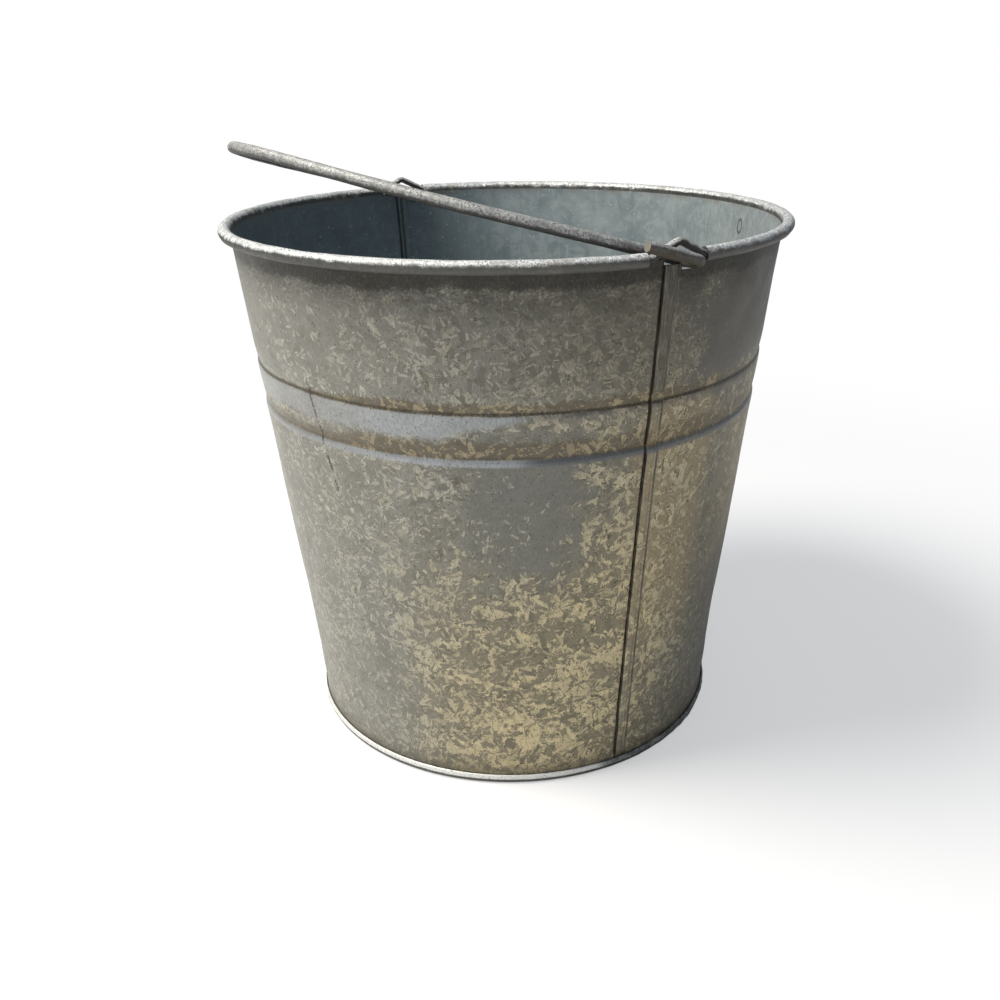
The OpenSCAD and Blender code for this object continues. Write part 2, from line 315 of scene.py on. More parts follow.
class OuterZinc(Shader):
    """The wall outside: crystals, beige bloom, brown dirt, black grime, painted shade and shadow, and a
    painted sky reflection, each in its own zone.
    """

    def __init__(self):
        super().__init__("zinc_outside")
        w = self.wrap
        self.cloud = self.noise(w, 18, 3, 0.6)
        self.rows = self.noise(self.stretched(w, 0.35, 1.3), 14, 3, 0.6)
        self.fine = self.noise(w, 1.3, 2, 0.65)
        self.large, self.large_tint, self.large_group = self.spangle(w, 4.2, 0.55, 1)
        self.small, self.small_tint, _ = self.spangle(w, 2.2, 0.40, 2, 0.5)
        self.front_side = self.step(self.x, 0, 10)
        self.strip = self.times(self.band(self.y, 0.0, SEAM_H, 0.5), self.front_side)

    def build(self):
        self.zones()
        self.crystals()
        self.dirt_grime_and_shade()
        self.seam_shade_and_marks()
        self.swage_marks()
        self.scratch()
        # fine pits, and the grain of the sheet
        threads = self.noise(self.stretched(self.wrap, 1.0, 0.3), 0.7, 1, 0.5)
        self.coat((0.035, 0.030, 0.025), self.step(self.noise(self.wrap, 1.0, 0, 0.0), 0.74, 0.78), 0.8)
        self.coat((0.085, 0.078, 0.062), self.step(threads, 0.35, 0.70), 0.30)
        rough = self.plus(0.44, self.times(self.flake, 0.12), self.times(self.dirt, 0.2),
                          self.times(self.ledge, -0.14))
        relief = self.plus(self.times(self.cloud, 0.25), self.times(self.fine, 0.09),
                           self.times(threads, 0.04))
        return self.surface(0.30, rough, [(relief, 1.0)])

    def zones(self):
        """Where the beige bloom lies: low and centre in level bands, beside the seam, less on the left."""
        s, angle, z = self, self.angle, self.z
        edge_x = s.plus(angle, s.swing(s.cloud, 0.5))
        edge_z = s.plus(z, s.swing(s.cloud, 60.0))
        s.low = s.step(z, 190, 60)
        s.low_centre = s.times(s.low, s.band(angle, -0.42, 0.24, 0.45))
        s.seam_side = s.band(angle, 0.0, 0.16, 0.25)
        s.patch = s.times(s.band(edge_x, -0.45, 0.13, 0.14), s.band(edge_z, 158, 22, 22))
        s.quiet = s.times(s.step(z, 196, 212), s.step(angle, -0.75, -1.15))
        s.calm_low = s.times(s.step(angle, -0.85, -1.3), s.step(z, 190, 170))
        frayed = s.plus(edge_x, s.times(s.plus(s.rows, s.fine, -1.0), 0.30))
        s.bare_right = s.times(s.step(edge_z, 202, 212), s.step(frayed, 0.10, 0.24))
        s.frost = s.times(s.step(z, 200, 225), s.band(angle, -0.12, 0.36, 0.2),
                          s.step(s.bare_right, 0.6, 0.3))
        calm_right = s.times(s.step(edge_x, 0.16, 0.42), s.step(edge_z, 190, 120))
        clump = s.plus(s.swing(s.noise(s.wrap, 55, 2, 0.5), 0.5), s.swing(s.cloud, 0.5),
                       s.times(s.plus(s.rows, -0.5), s.plus(0.5, s.times(s.low_centre, 0.7))))
        s.much = s.plus(s.times(s.low_centre, 0.13), s.times(s.seam_side, 0.08), clump,
                        s.times(s.patch, -0.40), s.times(s.quiet, -0.10), s.times(s.bare_right, -0.45),
                        s.times(s.frost, -0.09), s.times(calm_right, -0.16), s.times(s.strip, -0.20), -0.02)
        s.warm = s.least(s.plus(s.times(s.low_centre, 0.85), s.times(s.step(angle, -0.8, 0.1), 0.65)), 1.0)

    def crystals(self):
        """The zinc, its flakes, the thin lines in them and their dark outlines."""
        s, angle, z = self, self.angle, self.z
        needle, _, needle_group = s.spangle(s.wrap, 0.85, 0.09, 3, 0.6)
        ragged = s.plus(s.times(s.large, 0.50), s.times(s.small, 0.38), s.times(s.fine, 0.25), s.much)
        s.flake = s.step(ragged, 0.775, 0.800)
        chip = s.step(s.plus(s.small, s.times(s.large_group, 0.3), s.times(s.much, 1.2)), 0.90, 0.93)
        line = s.times(s.step(needle, 0.78, 0.82),
                       s.step(s.plus(needle_group, s.much, s.times(s.frost, 0.5)), 0.50, 0.55))
        shade = s.times(s.step(s.plus(s.small_tint, s.times(s.much, -0.4)), 0.66, 0.74),
                        s.plus(0.30, s.times(s.step(angle, -1.1, -0.6), 0.70)))
        beside_seam = s.times(s.band(angle, 0.13, 0.10, 0.15), s.step(z, 225, 185), s.step(z, 50, 110))
        at_turn = s.times(s.band(angle, 0.80, 0.20, 0.25), s.band(z, 145, 25, 35), 0.8)
        s.colour = s.mix(s.step(s.cloud, 0.32, 0.68), ZINC_DARK, ZINC_PALE)
        s.coat(ZINC_BRIGHT, s.large_tint, 0.35)
        s.coat(OLIVE_ZINC, s.warm, 0.70)
        s.coat(BROWN_SHADE, shade, 0.50)
        s.coat(WARM_GLOW, s.most(beside_seam, at_turn), 0.75)
        s.coat(BARE_PATCH, s.patch, 0.70)
        # painted shade: the bare upper right of the wall is darkened
        s.coat(BARE_SHADE_DARK, s.bare_right, 0.80)
        # painted shade: the lower wall darkens towards the right, where it turns away
        s.coat(TURN_SHADE, s.step(angle, 0.35, 0.9), s.low, 0.55)
        beige = s.mix(s.warm, BEIGE_COOL, BEIGE_WARM)
        beige = s.mix(s.times(s.small_tint, 0.50), beige, BEIGE_DEEP)
        beige = s.mix(s.times(s.most(s.quiet, s.calm_low), 0.45), beige, BEIGE_QUIET)
        beige = s.mix(s.times(s.frost, 0.55), beige, BEIGE_FROST)
        s.coat(beige, s.most(s.flake, s.times(chip, 0.7)), 0.85)
        s.coat(s.mix(s.warm, LINE_COOL, LINE_WARM), line, 0.50)
        s.coat(s.mix(s.warm, VEIN_COOL, VEIN_WARM), s.step(needle, 0.22, 0.16),
               s.step(needle_group, 0.35, 0.45),
               s.plus(0.25, s.times(s.flake, 0.45), s.times(s.seam_side, 0.25)))
        s.coat(OUTLINE, s.band(ragged, 0.762, 0.012, 0.016), s.step(s.fine, 0.40, 0.55),
               s.plus(0.65, s.times(s.seam_side, 0.3)))

    def dirt_grime_and_shade(self):
        """Brown dirt to the right and at the foot, painted shadow over the upper wall, and grime with painted
        shade under the bead, blackest there.
        """
        s, angle, z = self, self.angle, self.z
        patchy = s.step(s.plus(s.times(s.cloud, 0.6), s.times(s.fine, 0.5)), 0.38, 0.70)
        s.dirt = s.times(s.plus(s.times(s.step(z, 26, 8), 0.35), s.times(s.step(angle, -0.10, 0.85), 0.40),
                                0.08), patchy)
        s.coat(DIRT, s.dirt, 0.85)
        s.coat(FOOT_SMUDGE, s.step(s.plus(z, s.times(s.plus(s.fine, s.cloud, -1.0), 8.0)), 11.0, 7.0), 0.55)
        mottled = s.step(s.plus(s.times(s.cloud, 0.5), s.times(s.fine, 0.5)), 0.36, 0.58)
        # painted shadow: the upper wall is darkened in mottled patches, a little more to the upper right
        upper_shadow = s.times(s.step(z, 205, 262), s.step(angle, -1.9, -0.6), s.step(s.cloud, 0.25, 0.6), 0.50)
        s.coat(UPPER_SHADOW, s.plus(upper_shadow, s.times(s.step(z, 196, 215), s.step(angle, -0.8, 0.0), 0.28)))
        # grime and painted shade: the wall darkens to black just under the bead
        s.coat(RIM_GRIME_SHADE, s.step(z, 240, 262), mottled, 0.85)
        # a ragged black and brown band right under the bead: grime and painted shade
        crust_shade_line = s.plus(z, s.swing(s.fine, 5.0), s.swing(s.cloud, 9.0))
        s.coat(s.mix(s.step(s.fine, 0.54, 0.66), CRUST_SHADE_BLACK, CRUST_SHADE_BROWN),
               s.step(crust_shade_line, 255.5, 258.5), s.plus(0.35, s.times(s.step(angle, -1.6, -1.2), 0.55)))

    def seam_shade_and_marks(self):
        """Painted shade in the corners of the lock seam, a darker line and upper stretch on it, and pale
        streaks down it.
        """
        s, y = self, self.y
        # painted shade: a black line in the seam's left corner and a dark one in its right corner
        s.coat((0.010, 0.009, 0.008), s.band(y, -SEAM_H - 0.3, 0.40, 0.25), s.front_side, 0.95)
        s.coat((0.036, 0.028, 0.018), s.band(y, SEAM_H + 0.4, 0.40, 0.8), s.front_side, 0.85)
        s.coat((0.050, 0.042, 0.030), s.band(y, 0.9, 0.15, 0.5), s.front_side, 0.30)
        s.coat((0.060, 0.055, 0.042), s.strip, s.step(s.z, 190, 225), 0.55)
        streaks = s.noise(s.stretched(s.place, 1.0, 1.0, 0.05), 1.0, 2, 0.6)
        s.coat((0.35, 0.32, 0.24), s.band(y, 1.0, 4.6, 0.6), s.front_side, s.step(streaks, 0.45, 0.7), 0.40)

    def swage_marks(self):
        """Under each swage line the sheet is worn smooth, its pale strip blue-grey as a painted sky
        reflection and darker to the right as painted shade; over it dirt has settled.
        """
        s, angle, z = self, self.angle, self.z
        unrest = s.plus(s.fine, s.cloud, -1.0)
        middle = s.step(angle, -1.30, -0.85)
        # the upper strip narrows to a point on its way to the seam
        ragged_z = s.plus(z, s.times(unrest, 5.0), s.times(s.step(angle, -0.80, -0.40), -9.0))
        hi_pale = s.times(s.step(ragged_z, SWAGE_HI - 13, SWAGE_HI - 9), s.step(z, SWAGE_HI, SWAGE_HI - 0.8),
                          s.plus(0.35, s.times(s.step(angle, -0.42, -0.5), 0.45)))
        lo_pale = s.times(s.step(z, SWAGE_LO - 3.4, SWAGE_LO - 2.2),
                          s.step(z, SWAGE_LO + 1.0, SWAGE_LO + 0.2), 0.85)
        s.ledge = s.most(lo_pale, hi_pale)
        # painted sky reflection: the pale strips are blue-grey, bluest from the middle on; painted shade
        # darkens them to the right
        ledge_sky_tint = s.mix(s.plus(s.times(s.cloud, 0.6), s.times(middle, 0.5)), RUBBED_GREY, LEDGE_SKY_BLUE)
        s.coat(s.mix(s.step(angle, -0.50, -0.40), ledge_sky_tint, LEDGE_SHADE), s.ledge)
        ragged_z = s.plus(z, s.times(unrest, 6.0), s.times(middle, -3.5))
        lo_dirt = s.times(s.step(ragged_z, SWAGE_LO + 7.0, SWAGE_LO + 3.5), s.step(z, SWAGE_LO, SWAGE_LO + 1))
        hi_dirt = s.times(s.step(ragged_z, SWAGE_HI + 2.6, SWAGE_HI + 1.0), s.step(z, SWAGE_HI, SWAGE_HI + 1))
        flecks = s.times(s.step(s.plus(s.times(s.small, 0.6), s.fine), 0.93, 0.98), middle)
        s.coat(s.mix(flecks, SETTLED_DIRT, RUST_FLECK), s.most(lo_dirt, hi_dirt),
               s.step(angle, -2.0, -1.3), 0.72)
        # painted shade: a dark brown line in the groove over the upper swage line
        s.coat(CREASE_SHADE, s.band(z, SWAGE_HI + 0.6, 0.45, 0.45),
               s.plus(0.55, s.times(s.step(s.fine, 0.35, 0.6), 0.45)), 0.85)

    def scratch(self):
        """A thin broken scratch at azimuth -72 degrees that leans as it runs down over the swage lines."""
        s, z = self, self.z
        line_x = s.plus(s.times(s.angle, math.degrees(1)), s.times(s.plus(z, -206.0), 0.085),
                        s.swing(s.fine, 1.6))
        broken = s.noise(s.stretched(s.wrap, 0.0, 1.0), 7.0, 2, 0.7)
        s.coat((0.030, 0.026, 0.022), s.band(line_x, -72.2, 0.22, 0.16), s.step(z, 155, 158),
               s.step(z, 210, 207), s.step(broken, 0.44, 0.50), 0.9)


def inner_zinc():
    """The wall inside: bluer, its blue a painted sky tint, and cleaner, with painted shade darkest in the
    near left corner, painted light on the far right, and pale drips and runs.
    """
    s = Shader("zinc_inside")
    w = s.wrap
    cloud = s.noise(w, 24, 4, 0.6)
    fine = s.noise(w, 1.6, 3, 0.65)
    large, _, _ = s.spangle(w, 7.0, 0.6, 5, 0.6)
    small, grain, _ = s.spangle(w, 2.6, 0.4, 6, 0.6)
    # grey zinc with a painted sky tint of blue
    s.colour = s.mix(s.step(cloud, 0.3, 0.7), (0.195, 0.238, 0.248), (0.290, 0.335, 0.340))
    s.coat((0.31, 0.355, 0.365), s.step(large, 0.2, 0.9), 0.25)
    pale = s.step(s.plus(s.times(small, 0.4), s.times(grain, 0.5), s.times(cloud, 0.4)), 0.70, 0.80)
    s.coat((0.42, 0.46, 0.46), pale, 0.25)
    drips = s.noise(s.stretched(w, 1.0, 0.06), 1.6, 2, 0.6)
    s.coat((0.46, 0.50, 0.50), s.step(drips, 0.60, 0.75), 0.35)
    # painted shade: the near left corner inside is darkened to a deep blue
    corner_shade = s.times(s.step(s.x, 20, -70), s.step(s.y, 75, 5))
    s.coat((0.035, 0.062, 0.085), corner_shade, s.plus(0.35, s.times(cloud, 0.6)))
    runs = s.noise(s.stretched(w, 1.0, 0.12), 6, 3, 0.6)
    s.coat((0.11, 0.13, 0.13), s.step(runs, 0.52, 0.75), 0.35)
    s.coat((0.52, 0.56, 0.57), s.step(s.noise(w, 1.5, 1, 0.4), 0.70, 0.74), 0.6)
    s.coat((0.17, 0.12, 0.07), s.step(s.z, 262, 267), s.step(cloud, 0.42, 0.60), 0.7)
    # painted light: the far wall to the right inside is lightened in its upper part
    bright = s.times(s.step(s.angle, 2.1, 1.2), s.step(s.angle, -0.4, 0.2), s.step(s.z, 170, 225))
    nicks = s.noise(s.stretched(w, 1.0, 0.12), 0.9, 2, 0.6)
    s.coat((0.50, 0.53, 0.52), bright, s.plus(0.22, s.times(s.step(nicks, 0.45, 0.70), 0.45)))
    # one small oval ring pressed into the sheet near the rim, at azimuth 79.3 degrees and 254.5 mm up
    across = s.times(s.plus(s.angle, -math.radians(79.3)), 68.0)
    along = s.times(s.plus(s.z, -254.5), 1 / 3.6)
    ring = s.math("SQRT", s.plus(s.times(across, across), s.times(along, along)))
    s.coat((0.055, 0.062, 0.060), s.band(ring, 1.0, 0.12, 0.20), 0.75)
    s.coat((0.11, 0.095, 0.07), s.step(s.z, 45, 8), s.step(cloud, 0.35, 0.65), 0.6)
    s.coat((0.03, 0.035, 0.03), s.band(s.y, -0.8, 0.5, 0.8), s.step(s.x, 0, -10), 0.8)
    rough = s.plus(0.42, s.times(cloud, 0.15), s.times(fine, 0.12))
    return s.surface(0.40, rough, [(s.plus(s.times(cloud, 0.4), s.times(fine, 0.08)), 1.0)])


def bottom_zinc():
    """The bottom seen from inside: the walls' zinc with dried sediment, thickest in the corner."""
    s = Shader("zinc_bottom")
    cloud = s.noise(s.place, 26, 4, 0.6)
    fine = s.noise(s.place, 1.6, 3, 0.65)
    large, large_tint, _ = s.spangle(s.place, 7.0, 0.6, 8, 0.6)
    s.colour = s.mix(s.step(cloud, 0.3, 0.7), (0.165, 0.195, 0.200), (0.250, 0.280, 0.278))
    s.coat((0.31, 0.345, 0.345), s.step(large, 0.2, 0.9), 0.25)
    radius = s.math("SQRT", s.plus(s.times(s.x, s.x), s.times(s.y, s.y)))
    silt = s.plus(s.step(radius, 70, 112), s.times(s.step(s.noise(s.place, 38, 3, 0.6), 0.46, 0.62), 0.8))
    silt = s.times(s.least(silt, 1.0), s.step(s.plus(cloud, s.times(fine, 0.5)), 0.45, 0.85), 0.75)
    s.coat((0.125, 0.108, 0.078), silt)
    s.coat((0.46, 0.49, 0.49), s.step(s.noise(s.place, 1.5, 1, 0.4), 0.70, 0.74), 0.6)
    rough = s.plus(0.46, s.times(silt, 0.3), s.times(large_tint, 0.05))
    return s.surface(0.40, rough, [(s.plus(s.times(cloud, 0.4), s.times(fine, 0.08)), 1.0)])


def speckled(s, place, dark, light, shade_and_dirt_from, shade_and_dirt_to, shade_and_dirt_share):
    """Old zinc on a round wire or bead: pale and speckled on top, dark below with dirt and painted shade.

    The dark starts where the upward part of the normal is shade_and_dirt_from and is full at
    shade_and_dirt_to.
    Gives the roughness and the heights."""
    mottle = s.noise(place, 4.0, 3, 0.65)
    fine = s.noise(place, 0.8, 3, 0.75)
    s.colour = s.mix(s.step(mottle, 0.35, 0.65), dark, light)
    s.coat((0.060, 0.057, 0.050), s.step(s.plus(s.times(fine, 0.75), s.times(mottle, 0.3)), 0.53, 0.60), 0.75)
    # painted shade and dirt: the underside of the wire or bead is darkened
    s.coat((0.030, 0.028, 0.024), s.step(s.plus(s.up, s.swing(mottle, 0.8)), shade_and_dirt_from, shade_and_dirt_to),
           shade_and_dirt_share)
    return s.plus(0.40, s.times(fine, 0.25)), [(s.plus(s.times(mottle, 0.2), s.times(fine, 0.25)), 1.0)]


def bead_zinc():
    s = Shader("zinc_bead")
    rough, heights = speckled(s, s.place, (0.42, 0.43, 0.42), (0.84, 0.855, 0.85), 0.55, 0.12, 0.90)
    s.coat((0.22, 0.185, 0.13), s.step(s.noise(s.place, 14, 3, 0.6), 0.55, 0.70), 0.5)
    # painted shade: the front of the bead darkens where it does not face up
    s.coat((0.12, 0.115, 0.10), s.step(s.x, 40, 125), s.step(s.up, 0.85, 0.35), 0.45)
    return s.surface(0.35, rough, heights)


def wire_zinc(name, dark, light, seed, under, hook_shade_dirt_from=None):
    """Zinc of a wire. under is the three values for the dirt and painted shade below, hook_shade_dirt_from
    where the hooks start.
    """
    s = Shader(name)
    place = s.vector("ADD", s.place, (seed * 13.0, seed * 5.0, 0.0))
    rough, heights = speckled(s, place, dark, light, *under)
    if hook_shade_dirt_from:
        # the hooks are brown and dark but for their top edge: dirt and painted shade
        s.coat((0.060, 0.048, 0.032), s.step(s.math("ABSOLUTE", s.x), hook_shade_dirt_from, hook_shade_dirt_from + 4),
               s.step(s.up, 0.72, 0.30), 0.80)
    return s.surface(0.35, rough, heights)


def cut_wire():
    s = Shader("wire_cut")
    fine = s.noise(s.place, 0.8, 3, 0.7)
    s.colour = s.mix(fine, (0.11, 0.095, 0.075), (0.24, 0.215, 0.18))
    return s.surface(0.1, 0.7, [(fine, 0.2)])


def foot_zinc():
    """The base's folded edge: bright to the left of the seam with a painted highlight along its upper half,
    and rough and dull to its right, painted dark as shade with grey painted highlights; painted shade along
    its lower edge.
    """
    s = Shader("zinc_foot")
    cloud = s.noise(s.place, 14, 4, 0.6)
    fine = s.noise(s.place, 1.0, 3, 0.7)
    s.colour = s.mix(s.step(cloud, 0.3, 0.7), (0.20, 0.205, 0.20), (0.34, 0.345, 0.34))
    # painted highlight: a near white band along the upper half of the fold, left of the seam
    s.coat((0.76, 0.755, 0.72), s.step(s.z, 1.8, 2.6), s.step(s.angle, -0.06, -0.14), s.step(fine, 0.25, 0.5))
    # painted shade with grey flecks as painted highlights, to the right of the seam
    shade_and_glint_flecks = s.mix(s.step(s.plus(fine, s.times(cloud, 0.4)), 0.70, 0.78), (0.075, 0.078, 0.080),
                    (0.34, 0.335, 0.31))
    s.coat(shade_and_glint_flecks, s.step(s.angle, -0.12, 0.0), s.step(s.angle, 2.2, 1.6), 0.85)
    # painted shade along the lower edge of the fold, where it meets the floor
    s.coat((0.050, 0.048, 0.042), s.step(s.plus(s.z, s.swing(fine, 1.5)), 3.0, 2.0), 0.90)
    s.coat((0.08, 0.07, 0.06), s.step(fine, 0.58, 0.70), 0.6)
    return s.surface(0.3, s.plus(0.45, s.times(fine, 0.2)), [(cloud, 0.3), (fine, 0.2)])


# ---------- the wall ----------

# The wall's line from foot to rim: height, and how far it stands out from the plain cone.
WALL_LINE = [
    (0.63, 0), (BAND_Z, 0), (BAND_Z + 5, 0.45), (BAND_Z + 12, 0.4), (BAND_Z + 22, 0),
    (SWAGE_LO - 14, 0), (SWAGE_LO - 8, 0.15 * SWAGE_D), (SWAGE_LO - 3, 0.4 * SWAGE_D),
    (SWAGE_LO - 1, 0.3 * SWAGE_D), (SWAGE_LO + 0.2, -0.2 * SWAGE_D), (SWAGE_LO + 1.2, -SWAGE_D),
    (SWAGE_LO + 4.5, -0.5 * SWAGE_D), (SWAGE_LO + 10, -0.1 * SWAGE_D),
    (SWAGE_LO + 16, 0.12 * SWAGE_D), (SWAGE_HI - 1, 0.05 * SWAGE_D), (SWAGE_HI, -0.15 * SWAGE_D),
    (SWAGE_HI + 1, -0.9 * SWAGE_D), (SWAGE_HI + 5.5, -0.3 * SWAGE_D), (SWAGE_HI + 11, 0), (270, 0)]

ARC_STEPS, CURL_STEPS = 176, 24
SEAM_X = 130.0          # about how far out the seams are, for the azimuth of the columns beside them
FOOT_OF_CUT = 240.0     # above this the rows bend down to the cut edges at the ears

# Shallow dents: azimuth in degrees, height, half width, half height, depth (negative is inward).
DENTS = [
    (-62, 120, 22, 30, -0.7), (-20, 95, 14, 22, -0.5), (-95, 70, 26, 22, -0.8), (20, 140, 18, 28, -0.6),
    (48, 60, 20, 24, -0.7), (110, 150, 24, 30, -0.9), (160, 90, 20, 22, -0.6), (-140, 160, 22, 26, -0.8),
    (75, 225, 20, 14, -0.5), (-50, 232, 24, 12, -0.45), (-115, 226, 18, 14, -0.5), (135, 40, 24, 16, -0.6),
    (-35, 40, 18, 14, -0.5), (60, 190, 16, 10, -0.35), (-160, 235, 20, 14, -0.5), (-78, 200, 12, 8, -0.5)]


class Wall:
    """Shape of the wall's outer face, with its unevenness."""

    def __init__(self, foot_r, rim_r, rim_z):
        self.foot_r, self.rim_r, self.rim_z = foot_r, rim_r, rim_z
        self.top_r = rim_r - CURL_MID + SHEET / 2
        self.taper_z = BAND_Z + 2.5
        self.taper = (self.top_r - foot_r) / (rim_z - self.taper_z)
        # the wall's line with its corners softened
        self.fine_z = np.arange(-4, 276, 0.25)
        kernel = np.exp(-0.5 * (np.arange(-8, 9) * 0.25 / 0.6) ** 2)
        self.offs = np.convolve(np.interp(self.fine_z, *zip(*WALL_LINE)), kernel / kernel.sum(), "same")
        self.sway = Ripple(1, 9, 160)
        self.swage_sway = Ripple(2, 14, 400)
        self.hammer = Ripple(3, 40, 26, 26)

    def radius(self, angle, z):
        """Radius of the wall's outer face. angle is from the near seam, in radians."""
        z = np.asarray(z, float)
        calm = smoothstep(z, 8, 40) * (1 - 0.75 * smoothstep(z, 240, 262))
        away = smoothstep(np.abs(np.sin(angle)), 0.05, 0.22)
        lift = 0.7 * self.swage_sway.at(angle, z * 0) * smoothstep(z, 150, 175) * away
        r = self.foot_r + np.maximum(0, z - self.taper_z) * self.taper
        r = r + np.interp(z + lift, self.fine_z, self.offs)
        r = r + (0.35 * self.sway.at(angle, z) - 0.2) * calm * (0.25 + 0.75 * away)
        r = r + 0.05 * self.hammer.at(angle, z) * calm * away
        for azimuth, height, wide, tall, depth in DENTS:
            gap = (angle - math.radians(azimuth) + math.pi) % (2 * math.pi) - math.pi
            far = (gap * r / wide) ** 2 + ((z - height) / tall) ** 2
            r = r + depth * np.exp(-1.5 * far) * (0.2 + 0.8 * away)
        return r

    def cut(self, y):
        """Height of the sheet's upper edge in the gap at an ear."""
        return np.interp(y, [-SEAM_H - 1, -SEAM_H - 0.2, DIP_FROM - 0.5, DIP_FROM, DIP_TO, GAP_FRONT_Y],
                         [CUT_Z, STEP_Z, STEP_Z, DIP_Z, DIP_Z, CUT_Z])


def seam_lines(inner):
    """Middle line of the folded sheet at a seam as (y, level) pairs, from the wall to its free edge.

    y grows towards the other half. The inner sheet steps in and hooks back outside, and the outer
    one steps out and hooks back inside."""
    fold = SEAM_H - SHEET / 2 - PITCH
    free = PITCH + 0.5 - SEAM_H
    turn = np.radians(np.linspace(-90, 90, 9)[1:-1])
    if inner:
        t = np.linspace(0, 1, 6)
        points = [(-SEAM_H - 1.4 + 1.3 * k, -PITCH * k * k * (3 - 2 * k)) for k in t]
        points += [(-SEAM_H + 0.9, -PITCH), (0, -PITCH), (fold, -PITCH)]
        points += [(fold + PITCH * math.cos(a), PITCH * math.sin(a)) for a in turn]
        points += [(fold, PITCH), (0, PITCH), (free, PITCH)]
    else:
        t = np.linspace(0, 1, 7)
        points = [(-SEAM_H - 1.89 + 1.86 * k, 2 * PITCH * k * k * (3 - 2 * k)) for k in t]
        points += [(-SEAM_H + 0.9, 2 * PITCH), (0, 2 * PITCH), (fold, 2 * PITCH)]
        points += [(fold + PITCH * math.cos(a), PITCH - PITCH * math.sin(a)) for a in turn]
        points += [(fold, 0), (0, 0), (free, 0)]
    return np.array(points)


def offset_line(points, side):
    """The line moved half a sheet to one side, in (y, level)."""
    d = np.gradient(points, axis=0)
    d /= np.linalg.norm(d, axis=1)[:, None]
    return points + side * SHEET / 2 * np.stack([-d[:, 1], d[:, 0]], 1)


def end_columns(inner, plain_y):
    """Columns at one end of a half: plain wall, then the folded seam.

    Each is (x sign, y outside, y inside, level outside, level inside)."""
    sign = 1 if inner else -1
    outside, inside = (offset_line(seam_lines(inner), side) for side in (1, -1))
    plain = [(sign, y, y, SHEET / 2, -SHEET / 2) for y in plain_y]
    return plain + [(sign, a[0], b[0], a[1], b[1]) for a, b in zip(outside, inside)]


def half_wall(wall, node, turn, gap_y, materials, slot):
    """One half of the wall with its bead. It is drawn as the -Y half, then turned by 0 or 180 degrees.

    gap_y is where the bead ends, on the half's own side, counted from the seam."""
    if turn:
        near_gap = [-gap_y, -14.8, -14.4, -DIP_TO, -13, -11.8, -10.6, -9.4, -8.2, -7.1,
                    -DIP_FROM, 0.5 - DIP_FROM]
        before_seam = [-5.2], [-4.9]
    else:
        near_gap = [-gap_y, -gap_y + 1.2, -gap_y + 2.4, -7.0]
        before_seam = [-5.9, -5.2], [-5.6, -4.8]
    left = end_columns(False, near_gap + before_seam[0])[::-1]
    right = end_columns(True, near_gap + before_seam[1])
    arc_shares = np.linspace(0, 1, ARC_STEPS + 1)[1:-1]
    columns = left + list(arc_shares) + right
    zs = wall_rows()
    curl = np.linspace(CURL_START, CURL_END, CURL_STEPS + 1)[1:]
    grids = [np.stack([wall_column(wall, column, side, zs, curl, gap_y, turn) for column in columns], 1)
             for side in (0, 1)]
    in_gap = np.zeros(len(columns), bool)
    in_gap[:len(left) - 1] = True
    in_gap[len(columns) - len(right) + 1:] = True
    cells = np.ones((len(zs) + len(curl) - 1, len(columns) - 1), bool)
    cells[len(zs) - 1:, in_gap[:-1] | in_gap[1:]] = False
    outside, inside, bead = 0, 1, 2
    front_slot = np.full(cells.shape, outside)
    back_slot = np.full(cells.shape, inside)
    front_slot[len(zs) - 1:] = bead
    back_slot[len(zs) - 2:] = bead
    sheet = closed_sheet(*grids, cells, front_slot, back_slot, front_slot)
    make_object(node, *sheet, materials, "bucket", slot, 38)


def wall_rows():
    """Heights of the wall's rows, close together where the profile bends."""
    parts = [np.arange(0.63, 7, 1.6), np.arange(7, 9, 0.5), np.arange(9, 40, 2.4),
             np.arange(40, SWAGE_LO - 10, 3.2), np.arange(SWAGE_LO - 10, SWAGE_LO - 3, 1.4),
             np.arange(SWAGE_LO - 3, SWAGE_LO + 6, 0.7), np.arange(SWAGE_LO + 6, SWAGE_HI - 2, 1.8),
             np.arange(SWAGE_HI - 2, SWAGE_HI + 6, 0.7), np.arange(SWAGE_HI + 6, 225, 2.2),
             np.arange(225, 262, 2.8), np.linspace(262, 267, 5)]
    return np.concatenate(parts)


